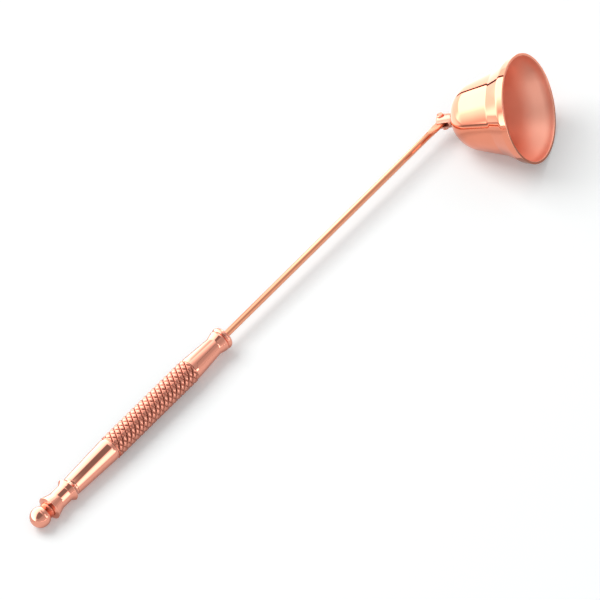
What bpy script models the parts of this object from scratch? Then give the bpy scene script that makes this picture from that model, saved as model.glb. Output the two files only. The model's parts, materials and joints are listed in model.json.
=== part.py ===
"""Bell candle snuffer: a flared bell pinned in a fork to a slim rod with a turned and knurled handle.

Sizes are in metres with +Z up. The snuffer lies on a table as it does when it is put down: the bell's lip
and dome and the handle's rearmost ring touch the table at z = 0, and the rod runs along +X to the bell.

Every piece is drawn with the snuffer held straight, mouth down: the bell stands on its mouth at height 0,
and the handle runs straight up from the pivot pin. The bell then swings about the pin, and the whole lies
down at angles worked out from its own outline.
"""

import math

import bmesh
import bpy
import numpy as np
from mathutils import Matrix, Vector

# Clearances
FIT_GAP = 0.0003
PIVOT_GAP = 0.0002

# Bell, from its mouth up
MOUTH_RADIUS = 0.0200
LIP_HEIGHT = 0.0028
LIP_DRAW_IN = 0.0006
LIP_FILLET = 0.0040
WAIST_HEIGHT = 0.0090
WAIST_FILLET = 0.0045
CONE_HALF_ANGLE = math.radians(16.4)
DOME_RADIUS = 0.0130
CROWN_HEIGHT = 0.0298
BELL_WALL = 0.0009

# Rod and its flattened end
ROD_RADIUS = 0.00125
TONGUE_THICKNESS = 0.0014
EYE_WALL = 0.00095
TONGUE_BLEND = 0.0045
TONGUE_SQUARENESS = 4
ROUND = 2
EXPOSED_ROD = 0.1215

# Pivot
PIN_RADIUS = 0.00065
PIN_HEAD_RADIUS = 0.0013
PIN_HEAD_HEIGHT = 0.0006
EAR_THICKNESS = 0.0016
EAR_WALL = 0.0009
EAR_CROWNING = 0.0002
FORK_EDGE = 0.0008
FORK_WEB = 0.0015
SWING_PAST_SQUARE = math.radians(22)
REST_SWING = math.radians(65.2)

# What holds the fork in the bell
SHANK_RADIUS = 0.00125
SHANK_TAIL = 0.0006
WASHER_RADIUS = 0.0029
WASHER_THICKNESS = 0.0005
NUT_ACROSS_FLATS = 0.0050
NUT_THICKNESS = 0.0020
NUT_CHAMFER = 0.0002
SEAT_MARGIN = 0.0006

# Handle pieces, in order from the rod's end to the tail
COLLAR_RADIUS = 0.0044
COLLAR_LENGTH = 0.0024
BARREL_RIM_RADIUS = 0.0042
BARREL_RIM_LENGTH = 0.0004
BARREL_NECK_RADIUS = 0.0035
BARREL_NECK_PLACE = 0.0031
BARREL_NECK_FILLET = 0.0026
BARREL_SWELL_PLACE = 0.0150
SWELL_FILLET = 0.0160
BARREL_LENGTH = 0.0163
GRIP_END_RADIUS = 0.0044
GRIP_LAND = 0.0003
GRIP_LENGTH = 0.0434
KNURL_RADIUS = 0.0047
KNURL_DEPTH = 0.00045
KNURL_SHOULDER = 0.8
KNURL_PITCH = 0.00225
KNURLS_AROUND = 8
TAIL_SWELL = 0.0001
TAIL_SWELL_PLACE = 0.0009
TAIL_END_RADIUS = 0.0037
TAIL_LENGTH = 0.0207
RING_RADIUS = 0.0046
RING_PLACE = 0.0019
RING_HALF_LENGTH = 0.0014
RING_EDGE = 0.00035
RING_FOOT_FILLET = 0.0007
RING_NECK_FILLET = 0.0014
FINIAL_WAIST_FILLET = 0.0028
FINIAL_WAIST_RADIUS = 0.0035
FINIAL_WAIST_END = 0.0081
FLARE_RADIUS = 0.0047
FLARE_PLACE = 0.0120
FLARE_FACE = 0.0006
FINIAL_FACE_RADIUS = 0.0037
BALL_FOOT_RADIUS = 0.0030
BALL_CENTRE_RISE = 0.0040
BALL_RADIUS = 0.0039
SPIGOT_WALL = 0.0007
SHORT_SPIGOT = 0.0025
GRIP_SPIGOT = 0.0050
BLIND_DEPTH = 0.0050

# Facets: an arc takes this many chords, and a turned piece this many sides
ARC_STEPS = 3
DOME_STEPS = 8
BALL_STEPS = 9
TIP_STEPS = 5
BLEND_STEPS = 5
BELL_SIDES = 48
HANDLE_SIDES = 24
SMALL_SIDES = 20
STEPS_PER_KNURL = 4
SOFTEST_EDGE = math.radians(35)
HALVINGS = 60
MERGE = 0.000001

# Finishes
ROSE = (0.86, 0.52, 0.42)
POLISHED = 0.12
SATIN = 0.28

# Pivot sizes that follow from the eye of the tongue and from the swing
EYE_HOLE = PIN_RADIUS + PIVOT_GAP
TONGUE_HALF_WIDTH = EYE_HOLE + EYE_WALL
SLOT_WIDTH = TONGUE_THICKNESS + 2 * PIVOT_GAP
HALF_FLATS = SLOT_WIDTH / 2 + EAR_THICKNESS
FORK_RADIUS = HALF_FLATS + EAR_CROWNING
FORK_TOP = EYE_HOLE + EAR_WALL
SLOT_DEPTH = (
    FORK_RADIUS * math.tan(SWING_PAST_SQUARE)
    + TONGUE_HALF_WIDTH / math.cos(SWING_PAST_SQUARE)
    + PIVOT_GAP
)
TONGUE_FLAT = (
    FORK_RADIUS * math.cos(SWING_PAST_SQUARE) + SLOT_DEPTH * math.sin(SWING_PAST_SQUARE) + PIVOT_GAP
)
FORK_SEAT = CROWN_HEIGHT + FIT_GAP
PIN_HEIGHT = FORK_SEAT + FORK_WEB + SLOT_DEPTH

# Bell outline, from the dome's centre on the axis
SHANK_HOLE = SHANK_RADIUS + FIT_GAP
CROWN_FLAT_RADIUS = max(FORK_RADIUS, WASHER_RADIUS) + SEAT_MARGIN
DOME_CENTRE = CROWN_HEIGHT - math.sqrt(DOME_RADIUS**2 - CROWN_FLAT_RADIUS**2)
CROWN_INSIDE = DOME_CENTRE + (CROWN_HEIGHT - DOME_CENTRE) * (1 - BELL_WALL / DOME_RADIUS)

# Bores and seats of the handle, and where each piece starts above the pin
ROD_BORE = ROD_RADIUS + FIT_GAP
SPIGOT_RADIUS = ROD_BORE + SPIGOT_WALL
SOCKET_RADIUS = SPIGOT_RADIUS + FIT_GAP
COLLAR_START = EXPOSED_ROD
BARREL_START = COLLAR_START + COLLAR_LENGTH + FIT_GAP
GRIP_START = BARREL_START + BARREL_LENGTH + FIT_GAP
TAIL_START = GRIP_START + GRIP_LENGTH + FIT_GAP
FINIAL_START = TAIL_START + TAIL_LENGTH + FIT_GAP
FINIAL_LENGTH = FLARE_PLACE + FLARE_FACE
BALL_START = FINIAL_START + FINIAL_LENGTH + FIT_GAP
ROD_END = BALL_START + BLIND_DEPTH - FIT_GAP


def arc(centre_r, centre_z, radius, start, end, steps):
    """Points (radius, height) on a circle from one angle to another, angles from the +r direction."""
    angles = np.linspace(start, end, steps + 1)
    return [(centre_r + radius * math.cos(a), centre_z + radius * math.sin(a)) for a in angles]


def rounded(corners):
    """A run of corners (r, z, fillet), each corner with a fillet replaced by an arc tangent to both sides.

    The fillet shrinks where its tangent length would pass the middle of a side.
    """
    points = []
    for k, (r, z, fillet) in enumerate(corners):
        corner = Vector((r, z))
        if not fillet:
            points.append((r, z))
            continue
        back = Vector(corners[k - 1][:2]) - corner
        ahead = Vector(corners[k + 1][:2]) - corner
        half = back.angle(ahead) / 2
        reach = min(fillet / math.tan(half), back.length / 2, ahead.length / 2)
        radius = reach * math.tan(half)
        bisector = (back.normalized() + ahead.normalized()).normalized()
        centre = corner + bisector * (radius / math.sin(half))
        first = corner + back.normalized() * reach - centre
        last = corner + ahead.normalized() * reach - centre
        start = math.atan2(first.y, first.x)
        turn = math.remainder(math.atan2(last.y, last.x) - start, math.tau)
        points += arc(centre.x, centre.y, radius, start, start + turn, ARC_STEPS)
    return points


def bell_outline():
    """The bell's outer line from the crown's edge down to the mouth: dome, cone, flare and lip."""
    crown = math.asin((CROWN_HEIGHT - DOME_CENTRE) / DOME_RADIUS)
    dome = arc(0, DOME_CENTRE, DOME_RADIUS, crown, CONE_HALF_ANGLE, DOME_STEPS)
    cone_r, cone_z = dome[-1]
    waist_r = cone_r + (cone_z - WAIST_HEIGHT) * math.tan(CONE_HALF_ANGLE)
    skirt = rounded(
        [
            (cone_r, cone_z, 0),
            (waist_r, WAIST_HEIGHT, WAIST_FILLET),
            (MOUTH_RADIUS - LIP_DRAW_IN, LIP_HEIGHT, LIP_FILLET),
            (MOUTH_RADIUS, 0, 0),
        ]
    )
    return dome + skirt[1:]


def inner_line(outline, wall):
    """The outline moved inwards by the wall along its own normals, with its last point kept at the mouth."""
    line = np.array(outline)
    along = np.gradient(line, axis=0)
    along /= np.linalg.norm(along, axis=1)[:, None]
    inside = line + wall * np.column_stack([along[:, 1], -along[:, 0]])
    inside[-1, 1] = 0
    return [tuple(p) for p in inside]


def collar_outline():
    """A round bead, from its tail face down to its head face."""
    middle = COLLAR_START + COLLAR_LENGTH / 2
    half = COLLAR_LENGTH / 2
    return arc(COLLAR_RADIUS - half, middle, half, math.pi / 2, -math.pi / 2, 3 * ARC_STEPS)


def barrel_outline():
    """A slim vase: full at the grip, drawn in to a neck, then flared out to a rim behind the collar."""
    return rounded(
        [
            (GRIP_END_RADIUS, BARREL_START + BARREL_LENGTH, 0),
            (GRIP_END_RADIUS, BARREL_START + BARREL_SWELL_PLACE, SWELL_FILLET),
            (BARREL_NECK_RADIUS, BARREL_START + BARREL_NECK_PLACE, BARREL_NECK_FILLET),
            (BARREL_RIM_RADIUS, BARREL_START + BARREL_RIM_LENGTH, 0),
            (BARREL_RIM_RADIUS, BARREL_START, 0),
        ]
    )


def tail_outline():
    """A long taper that starts with a slight swell behind the grip."""
    return rounded(
        [
            (TAIL_END_RADIUS, TAIL_START + TAIL_LENGTH, 0),
            (GRIP_END_RADIUS + TAIL_SWELL, TAIL_START + TAIL_SWELL_PLACE, SWELL_FILLET),
            (GRIP_END_RADIUS - TAIL_SWELL, TAIL_START, 0),
        ]
    )


def finial_outline():
    """From the ball's side down: a sloping face, a sharp flare, a waist and a crested ring."""
    ring = FINIAL_START + RING_PLACE
    return rounded(
        [
            (FINIAL_FACE_RADIUS, FINIAL_START + FINIAL_LENGTH, 0),
            (FLARE_RADIUS, FINIAL_START + FLARE_PLACE, 0),
            (FINIAL_WAIST_RADIUS, FINIAL_START + FINIAL_WAIST_END, FINIAL_WAIST_FILLET),
            (FINIAL_WAIST_RADIUS, ring + RING_HALF_LENGTH, RING_NECK_FILLET),
            (RING_RADIUS, ring, RING_EDGE),
            (TAIL_END_RADIUS, ring - RING_HALF_LENGTH, RING_FOOT_FILLET),
            (TAIL_END_RADIUS, FINIAL_START, 0),
        ]
    )


def ball_outline():
    """The ball from its pole down to the foot that it stands on."""
    centre = BALL_START + BALL_CENTRE_RISE
    foot = math.acos(BALL_FOOT_RADIUS / BALL_RADIUS)
    ball = arc(0, centre, BALL_RADIUS, math.pi / 2, -foot, BALL_STEPS)
    return [(0, centre + BALL_RADIUS)] + ball[1:] + [(BALL_FOOT_RADIUS, BALL_START)]


def lying_angles(bell, handle):
    """The tilts at which the snuffer lies on a table: the mouth's rise, the rod's rise and the pin's height.

    The bell tips until a circle of its lip and a circle of its dome reach equally far below the pin. The
    handle then hangs back from the pin until the first of its circles touches the same table.
    """
    radius, height = np.array(bell).T
    radius = radius * math.cos(math.pi / BELL_SIDES)
    reach = PIN_HEIGHT - height
    lip = height < WAIST_HEIGHT
    low, high = 0.0, math.pi / 2
    for _ in range(HALVINGS):
        tilt = (low + high) / 2
        drop = radius * math.cos(tilt) - reach * math.sin(tilt)
        if drop[lip].max() > drop[~lip].max():
            low = tilt
        else:
            high = tilt
    pin_height = drop.max()
    radius, along = np.array(handle).T
    radius = radius * math.cos(math.pi / HANDLE_SIDES)
    slopes = np.arcsin(pin_height / np.hypot(along, radius)) - np.arctan2(radius, along)
    return tilt, slopes.min(), pin_height


def lying_matrix(mouth_rise, rod_rise, pin_height):
    """Places the straight handle's frame so that the snuffer lies down, the rod above the X axis.

    The bell's axis stands at REST_SWING to the rod and rises by mouth_rise, which leaves one bearing for it.
    The handle's frame has its origin on the pin, Z up the handle and Y along the pin.
    """
    forward = Vector((math.cos(rod_rise), 0, math.sin(rod_rise)))
    across = math.cos(REST_SWING) - math.sin(rod_rise) * math.sin(mouth_rise)
    bearing = math.acos(across / (math.cos(rod_rise) * math.cos(mouth_rise)))
    mouth = Vector(
        (
            math.cos(mouth_rise) * math.cos(bearing),
            -math.cos(mouth_rise) * math.sin(bearing),
            math.sin(mouth_rise),
        )
    )
    pin_axis = forward.cross(mouth).normalized()
    up_handle = -forward
    turn = Matrix((pin_axis.cross(up_handle), pin_axis, up_handle)).transposed().to_4x4()
    return Matrix.Translation((0, 0, pin_height)) @ turn


def collection(name):
    made = bpy.data.collections.new(name)
    bpy.context.scene.collection.children.link(made)
    return made


def empty(name, parent=None):
    made = bpy.data.objects.new(name, None)
    made.empty_display_size = 0.01
    parts.objects.link(made)
    made.parent = parent
    return made


def plating(name, roughness):
    """Rose gold plating, polished or satin."""
    material = bpy.data.materials.new(name)
    material.use_nodes = True
    shader = material.node_tree.nodes["Principled BSDF"]
    shader.inputs["Base Color"].default_value = (*ROSE, 1)
    shader.inputs["Metallic"].default_value = 1
    shader.inputs["Roughness"].default_value = roughness
    return material


def piece(name, mesh, parent, roughness):
    made = bpy.data.objects.new(name, mesh)
    mesh.materials.append(plating(name, roughness))
    parts.objects.link(made)
    made.parent = parent
    return made


def cutter(name, mesh, parent):
    made = bpy.data.objects.new(name, mesh)
    cutters.objects.link(made)
    made.parent = parent
    made.display_type = "WIRE"
    made.hide_render = True
    return made


def cut(target, tool):
    step = target.modifiers.new(tool.name, "BOOLEAN")
    step.operation = "DIFFERENCE"
    step.solver = "EXACT"
    step.object = tool


def profile_mesh(name, points, closed):
    """The edges of a turned piece's half section in the XZ plane, at +X."""
    mesh = bpy.data.meshes.new(name)
    edges = [(k, k + 1) for k in range(len(points) - 1)]
    if closed:
        edges.append((len(points) - 1, 0))
    mesh.from_pydata([(r, 0, z) for r, z in points], edges, [])
    return mesh


def turned(name, points, parent, roughness, sides, closed=True):
    """A turned piece from its half section, down the outer side and then back up the bore, turned about Z."""
    made = piece(name, profile_mesh(name, points, closed), parent, roughness)
    screw = made.modifiers.new("turn", "SCREW")
    screw.steps = sides
    screw.render_steps = sides
    screw.use_merge_vertices = True
    screw.merge_threshold = MERGE
    screw.use_smooth_shade = True
    return made


def rod_cutter(name, radius, start, end, parent, sides):
    """A round cutter along Z from start to end."""
    bm = bmesh.new()
    middle = Matrix.Translation((0, 0, (start + end) / 2))
    bmesh.ops.create_cone(
        bm, cap_ends=True, segments=sides, radius1=radius, radius2=radius, depth=end - start, matrix=middle
    )
    mesh = bpy.data.meshes.new(name)
    bm.to_mesh(mesh)
    bm.free()
    return cutter(name, mesh, parent)


def box_cutter(name, size, centre, parent):
    bm = bmesh.new()
    bmesh.ops.create_cube(bm, size=1, matrix=Matrix.Translation(centre) @ Matrix.Diagonal((*size, 1)))
    mesh = bpy.data.meshes.new(name)
    bm.to_mesh(mesh)
    bm.free()
    return cutter(name, mesh, parent)


def flat_down(frame, sides):
    """The turn about a frame's Z that brings the middle of one of a turned piece's flats to its underside."""
    down = frame.to_3x3().inverted() @ Vector((0, 0, -1))
    return math.atan2(down.y, down.x) - math.pi / sides


def bell_cup(parent, turn):
    """Spun sheet bell with a hole in its crown for the fork's shank."""
    outline = bell_outline()
    inside = inner_line(outline, BELL_WALL)[::-1]
    section = [(SHANK_HOLE, CROWN_HEIGHT)] + outline + inside[:-1]
    section += [(inside[-1][0], CROWN_INSIDE), (SHANK_HOLE, CROWN_INSIDE)]
    made = turned("bell_cup", section, parent, POLISHED, BELL_SIDES)
    made.location.z = -PIN_HEIGHT
    made.rotation_euler.z = turn


def fork_stud(parent, pin_bore):
    """Turned stud: a round head slotted for the tongue, and a shank through the bell's crown."""
    top = PIN_HEIGHT + FORK_TOP
    shank_end = CROWN_INSIDE - WASHER_THICKNESS - NUT_THICKNESS - 2 * FIT_GAP - SHANK_TAIL
    section = rounded(
        [
            (0, top, 0),
            (FORK_RADIUS, top, FORK_EDGE),
            (FORK_RADIUS, FORK_SEAT, 0),
            (SHANK_RADIUS, FORK_SEAT, 0),
            (SHANK_RADIUS, shank_end, 0),
            (0, shank_end, 0),
        ]
    )
    made = turned("fork_stud", section, parent, POLISHED, HANDLE_SIDES, closed=False)
    made.location.z = -PIN_HEIGHT
    clear = 2 * FORK_RADIUS
    size = (2 * clear, SLOT_WIDTH, 2 * clear)
    cut(made, box_cutter("fork_slot", size, (0, 0, clear - SLOT_DEPTH), parent))
    for side in (-1, 1):
        centre = (0, side * (HALF_FLATS + clear), clear - TONGUE_HALF_WIDTH)
        cut(made, box_cutter(f"ear_flat_{side}", (2 * clear, 2 * clear, 2 * clear), centre, parent))
    cut(made, pin_bore)


def crown_washer(parent):
    """Plain washer under the bell's crown."""
    top = CROWN_INSIDE - FIT_GAP
    bottom = top - WASHER_THICKNESS
    section = [(SHANK_HOLE, top), (WASHER_RADIUS, top), (WASHER_RADIUS, bottom), (SHANK_HOLE, bottom)]
    made = turned("crown_washer", section, parent, SATIN, SMALL_SIDES)
    made.location.z = -PIN_HEIGHT


def crown_nut(parent):
    """Hexagon nut on the shank, inside the bell."""
    top = CROWN_INSIDE - WASHER_THICKNESS - 2 * FIT_GAP
    bm = bmesh.new()
    corner = NUT_ACROSS_FLATS / math.sqrt(3)
    bmesh.ops.create_cone(
        bm, cap_ends=True, segments=6, radius1=corner, radius2=corner, depth=NUT_THICKNESS
    )
    mesh = bpy.data.meshes.new("crown_nut")
    bm.to_mesh(mesh)
    bm.free()
    made = piece("crown_nut", mesh, parent, SATIN)
    made.location.z = top - NUT_THICKNESS / 2 - PIN_HEIGHT
    edges = made.modifiers.new("chamfer", "BEVEL")
    edges.width = NUT_CHAMFER
    edges.segments = 1
    bore = rod_cutter("nut_bore", SHANK_HOLE, -NUT_THICKNESS, NUT_THICKNESS, made, SMALL_SIDES)
    cut(made, bore)


def pivot_pin(parent):
    """Rivet through both ears and the tongue, with a domed head at each end, along the parent's Y."""
    seat = HALF_FLATS + PIVOT_GAP
    end = seat + PIN_HEAD_HEIGHT
    half = rounded(
        [
            (0, end, 0),
            (PIN_HEAD_RADIUS, end, PIN_HEAD_HEIGHT),
            (PIN_HEAD_RADIUS, seat, 0),
            (PIN_RADIUS, seat, 0),
        ]
    )
    section = half + [(r, -y) for r, y in reversed(half)]
    made = turned("pivot_pin", section, parent, POLISHED, SMALL_SIDES, closed=False)
    made.rotation_euler.x = -math.pi / 2


def flattened(width, thickness, squareness):
    """One ring round the rod: a circle when ROUND, and a flat bar with round edges above that."""
    angles = np.linspace(0, math.tau, SMALL_SIDES, endpoint=False)
    cosine, sine = np.cos(angles), np.sin(angles)
    x = width * np.sign(cosine) * np.abs(cosine) ** (2 / squareness)
    y = thickness * np.sign(sine) * np.abs(sine) ** (2 / squareness)
    return np.column_stack([x, y])


def snuffer_rod(parent, pin_bore):
    """Round bar, its end pressed flat into a tongue with a round tip and an eye for the pin.

    Rings run from the tip up the handle's Z. The tip's rings narrow along a circle about the pin, and the
    blend eases the width, the thickness and the squareness from the tongue's to the round bar's.
    """
    flat = TONGUE_THICKNESS / 2
    rings = []
    for angle in np.linspace(0, math.pi / 2, TIP_STEPS + 1)[1:]:
        width = TONGUE_HALF_WIDTH * math.sin(angle)
        rings.append((-TONGUE_HALF_WIDTH * math.cos(angle), width, min(flat, width), TONGUE_SQUARENESS))
    for share in np.linspace(0, 1, BLEND_STEPS + 1):
        ease = share * share * (3 - 2 * share)
        width = TONGUE_HALF_WIDTH + (ROD_RADIUS - TONGUE_HALF_WIDTH) * ease
        thickness = flat + (ROD_RADIUS - flat) * ease
        squareness = TONGUE_SQUARENESS + (ROUND - TONGUE_SQUARENESS) * ease
        rings.append((TONGUE_FLAT + share * TONGUE_BLEND, width, thickness, squareness))
    rings.append((ROD_END, ROD_RADIUS, ROD_RADIUS, ROUND))

    bm = bmesh.new()
    loops = []
    for z, width, thickness, squareness in rings:
        loops.append([bm.verts.new((x, y, z)) for x, y in flattened(width, thickness, squareness)])
    for low, high in zip(loops, loops[1:]):
        for k in range(SMALL_SIDES):
            following = (k + 1) % SMALL_SIDES
            bm.faces.new((low[k], low[following], high[following], high[k]))
    bm.faces.new(loops[0][::-1])
    bm.faces.new(loops[-1])
    mesh = bpy.data.meshes.new("snuffer_rod")
    bm.to_mesh(mesh)
    bm.free()
    mesh.shade_smooth()
    mesh.set_sharp_from_angle(angle=SOFTEST_EDGE)
    made = piece("snuffer_rod", mesh, parent, POLISHED)
    cut(made, pin_bore)


def rod_collar(parent):
    """Bead at the rod's entry, with a spigot that centres it in the front barrel."""
    top = COLLAR_START + COLLAR_LENGTH
    spigot_end = top + SHORT_SPIGOT
    section = [(ROD_BORE, spigot_end), (SPIGOT_RADIUS, spigot_end), (SPIGOT_RADIUS, top)]
    section += collar_outline() + [(ROD_BORE, COLLAR_START)]
    return turned("rod_collar", section, parent, POLISHED, HANDLE_SIDES)


def front_barrel(parent):
    """Smooth barrel: a socket for the collar at its rim, and a spigot inside the grip."""
    top = BARREL_START + BARREL_LENGTH
    spigot_end = top + GRIP_SPIGOT
    socket_end = BARREL_START + SHORT_SPIGOT
    section = [(ROD_BORE, spigot_end), (SPIGOT_RADIUS, spigot_end), (SPIGOT_RADIUS, top)]
    section += barrel_outline() + [(SOCKET_RADIUS, BARREL_START)]
    section += [(SOCKET_RADIUS, socket_end), (ROD_BORE, socket_end)]
    return turned("front_barrel", section, parent, POLISHED, HANDLE_SIDES)


def knurl_height(column, row):
    """How far the knurl stands out of its grooves, 0 to 1, at a point of the lattice.

    Two families of grooves cross: one where column + row is a multiple of the steps in a diamond, the
    other where column - row is. The height grows with the distance to the nearer groove.
    """
    past = [n % STEPS_PER_KNURL for n in (column + row, column - row)]
    return (0, KNURL_SHOULDER, 1)[min(min(n, STEPS_PER_KNURL - n) for n in past)]


def knurled_grip(parent):
    """Sleeve with a crossed knurl: a flat lattice split along its grooves, raised, and rolled into a tube."""
    band = GRIP_LENGTH - 2 * GRIP_LAND
    rows = STEPS_PER_KNURL * round(band / KNURL_PITCH)
    columns = STEPS_PER_KNURL * KNURLS_AROUND
    heights = [0, *np.linspace(GRIP_LAND, GRIP_LENGTH - GRIP_LAND, rows + 1), GRIP_LENGTH]

    bm = bmesh.new()
    bmesh.ops.create_grid(bm, x_segments=columns, y_segments=rows + 2, size=1)
    cell = {}
    for v in bm.verts:
        cell[v] = (round((v.co.x + 1) / 2 * columns), round((v.co.y + 1) / 2 * (rows + 2)))
    for face in list(bm.faces):
        at = {cell[v]: v for v in face.verts}
        i, j = min(at)
        rising = (i - j) % 2 == 1
        ends = (at[i, j], at[i + 1, j + 1]) if rising else (at[i + 1, j], at[i, j + 1])
        bmesh.utils.face_split(face, *ends)
    for v, (i, j) in cell.items():
        radius = GRIP_END_RADIUS
        if 1 < j < rows + 1:
            radius = KNURL_RADIUS - KNURL_DEPTH * (1 - knurl_height(i, j - 1))
        angle = math.tau * i / columns
        v.co = (radius * math.cos(angle), radius * math.sin(angle), heights[j])
    bmesh.ops.remove_doubles(bm, verts=bm.verts, dist=MERGE)
    bmesh.ops.holes_fill(bm, edges=[e for e in bm.edges if e.is_boundary])
    mesh = bpy.data.meshes.new("knurled_grip")
    bm.to_mesh(mesh)
    bm.free()
    made = piece("knurled_grip", mesh, parent, SATIN)
    made.location.z = GRIP_START
    past = GRIP_LAND + FIT_GAP
    cut(made, rod_cutter("grip_bore", SOCKET_RADIUS, -past, GRIP_LENGTH + past, made, HANDLE_SIDES))
    return made


def tail_barrel(parent):
    """Tapered barrel: a spigot inside the grip at its head end, and a socket for the finial."""
    top = TAIL_START + TAIL_LENGTH
    socket_start = top - SHORT_SPIGOT
    spigot_start = TAIL_START - GRIP_SPIGOT
    section = [(ROD_BORE, socket_start), (SOCKET_RADIUS, socket_start), (SOCKET_RADIUS, top)]
    section += tail_outline() + [(SPIGOT_RADIUS, TAIL_START)]
    section += [(SPIGOT_RADIUS, spigot_start), (ROD_BORE, spigot_start)]
    return turned("tail_barrel", section, parent, POLISHED, HANDLE_SIDES)


def finial_spindle(parent):
    """Ring, waist and flare, with a spigot in the tail barrel and a socket for the ball's foot."""
    top = FINIAL_START + FINIAL_LENGTH
    socket_start = top - SHORT_SPIGOT
    spigot_start = FINIAL_START - SHORT_SPIGOT + FIT_GAP
    section = [(ROD_BORE, socket_start), (SOCKET_RADIUS, socket_start), (SOCKET_RADIUS, top)]
    section += finial_outline() + [(SPIGOT_RADIUS, FINIAL_START)]
    section += [(SPIGOT_RADIUS, spigot_start), (ROD_BORE, spigot_start)]
    return turned("finial_spindle", section, parent, POLISHED, HANDLE_SIDES)


def finial_ball(parent):
    """Ball nut: a blind bore takes the rod's threaded end, and a spigot centres it in the finial."""
    spigot_start = BALL_START - SHORT_SPIGOT + FIT_GAP
    blind = BALL_START + BLIND_DEPTH
    section = ball_outline() + [(SPIGOT_RADIUS, BALL_START), (SPIGOT_RADIUS, spigot_start)]
    section += [(ROD_BORE, spigot_start), (ROD_BORE, blind), (0, blind)]
    return turned("finial_ball", section, parent, POLISHED, HANDLE_SIDES, closed=False)


def stand_on_origin(root):
    """Moves the whole so that the bottom centre of its bounding box is the origin."""
    bpy.context.view_layer.update()
    graph = bpy.context.evaluated_depsgraph_get()
    corners = []
    for part in parts.objects:
        if part.type == "MESH":
            shown = part.evaluated_get(graph)
            points = np.array([v.co for v in shown.data.vertices])
            place = np.array(shown.matrix_world)
            corners.append(points @ place[:3, :3].T + place[:3, 3])
    corners = np.concatenate(corners)
    low, high = corners.min(axis=0), corners.max(axis=0)
    shift = Vector((-(low[0] + high[0]) / 2, -(low[1] + high[1]) / 2, -low[2]))
    root.matrix_world = Matrix.Translation(shift) @ root.matrix_world
    bpy.context.view_layer.update()


for old in list(bpy.data.objects):
    bpy.data.objects.remove(old)

parts = collection("bell_candle_snuffer")
cutters = collection("snuffer_cutters")

outlines = [collar_outline(), barrel_outline(), tail_outline(), finial_outline(), ball_outline()]
outlines.append([(KNURL_RADIUS, GRIP_START), (KNURL_RADIUS, TAIL_START)])
handle_line = [point for line in outlines for point in line]
handle = empty("handle_axis")
handle.matrix_world = lying_matrix(*lying_angles(bell_outline(), handle_line))
bell = empty("bell_axis", handle)
bell.rotation_euler.y = REST_SWING
bpy.context.view_layer.update()

bore_reach = HALF_FLATS + PIN_HEAD_HEIGHT
pin_bore = rod_cutter("pin_bore", EYE_HOLE, -bore_reach, bore_reach, bell, SMALL_SIDES)
pin_bore.rotation_euler.x = math.pi / 2

bell_cup(bell, flat_down(bell.matrix_world, BELL_SIDES))
fork_stud(bell, pin_bore)
crown_washer(bell)
crown_nut(bell)
pivot_pin(bell)
snuffer_rod(handle, pin_bore)
handle_turn = flat_down(handle.matrix_world, HANDLE_SIDES)
for make in (rod_collar, front_barrel, knurled_grip, tail_barrel, finial_spindle, finial_ball):
    make(handle).rotation_euler.z = handle_turn

stand_on_origin(handle)
mouth_centre = bell.matrix_world @ Vector((0, 0, -PIN_HEIGHT))
mouth_out = -(bell.matrix_world.to_3x3() @ Vector((0, 0, 1)))
pin_axis = bell.matrix_world.to_3x3() @ Vector((0, 1, 0))
print("pivot at", [round(x, 6) for x in bell.matrix_world.translation])
print("pivot axis", [round(x, 6) for x in pin_axis])
print("mouth centre", [round(x, 6) for x in mouth_centre])
print("mouth faces", [round(x, 6) for x in mouth_out])
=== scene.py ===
"""Bell candle snuffer lying on a white table, dressed for its portrait.

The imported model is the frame. Each piece below is drawn in millimetres in the frame of its own body: the
bell's frame has its origin on the pivot, Z from the mouth to the crown and Y along the pivot pin, and the
handle's has the same origin and pin with Z up the handle.
"""

import json
import math

import bmesh
import bpy
import numpy as np
from mathutils import Matrix, Vector


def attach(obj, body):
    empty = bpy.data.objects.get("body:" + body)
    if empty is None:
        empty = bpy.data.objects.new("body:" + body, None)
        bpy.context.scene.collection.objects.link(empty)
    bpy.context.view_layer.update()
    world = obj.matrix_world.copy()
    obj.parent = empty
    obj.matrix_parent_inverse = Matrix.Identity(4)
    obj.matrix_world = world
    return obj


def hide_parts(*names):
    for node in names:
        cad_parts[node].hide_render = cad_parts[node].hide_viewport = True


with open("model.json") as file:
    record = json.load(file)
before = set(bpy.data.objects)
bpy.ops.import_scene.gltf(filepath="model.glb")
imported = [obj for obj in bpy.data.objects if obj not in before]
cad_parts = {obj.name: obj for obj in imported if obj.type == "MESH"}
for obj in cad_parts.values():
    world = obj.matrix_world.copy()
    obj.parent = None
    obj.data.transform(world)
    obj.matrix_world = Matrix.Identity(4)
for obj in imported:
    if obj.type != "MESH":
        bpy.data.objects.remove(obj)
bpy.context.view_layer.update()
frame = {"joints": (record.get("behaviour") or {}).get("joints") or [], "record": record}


# The bell: spun from sheet metal one wall thick, with a rounded dome, a plain cone, a flare and an upright
# lip. Rose gold plating, mirror polished outside and satin inside, where a paler colour paints the inside
# lighter. A stud through its crown carries it.
MM = 0.001
REST_SWING = math.radians(65.2)
hinge = frame["joints"][0]
pivot = np.array(hinge["pos_m"])
pin_line = np.array(hinge["axis"]) / np.linalg.norm(hinge["axis"])
mouth_out = np.array(frame["record"]["mounts"][0]["axis"])
mouth_out = mouth_out - pin_line * (mouth_out @ pin_line)
mouth_out = mouth_out / np.linalg.norm(mouth_out)


def turned_axes(up):
    """Three columns: across, along the pin, and up. Across completes the right hand of the other two."""
    return np.column_stack([np.cross(pin_line, up), pin_line, up])


bell_axes = turned_axes(-mouth_out)
handle_axes = turned_axes(bell_axes @ np.array([-math.sin(REST_SWING), 0, math.cos(REST_SWING)]))


def arc(centre, radius, start, end, steps):
    """Points on a circle of the half section: centre + radius (cos a, sin a), with a from start to end."""
    a = np.linspace(start, end, steps + 1)
    return np.array(centre) + radius * np.column_stack([np.cos(a), np.sin(a)])


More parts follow.
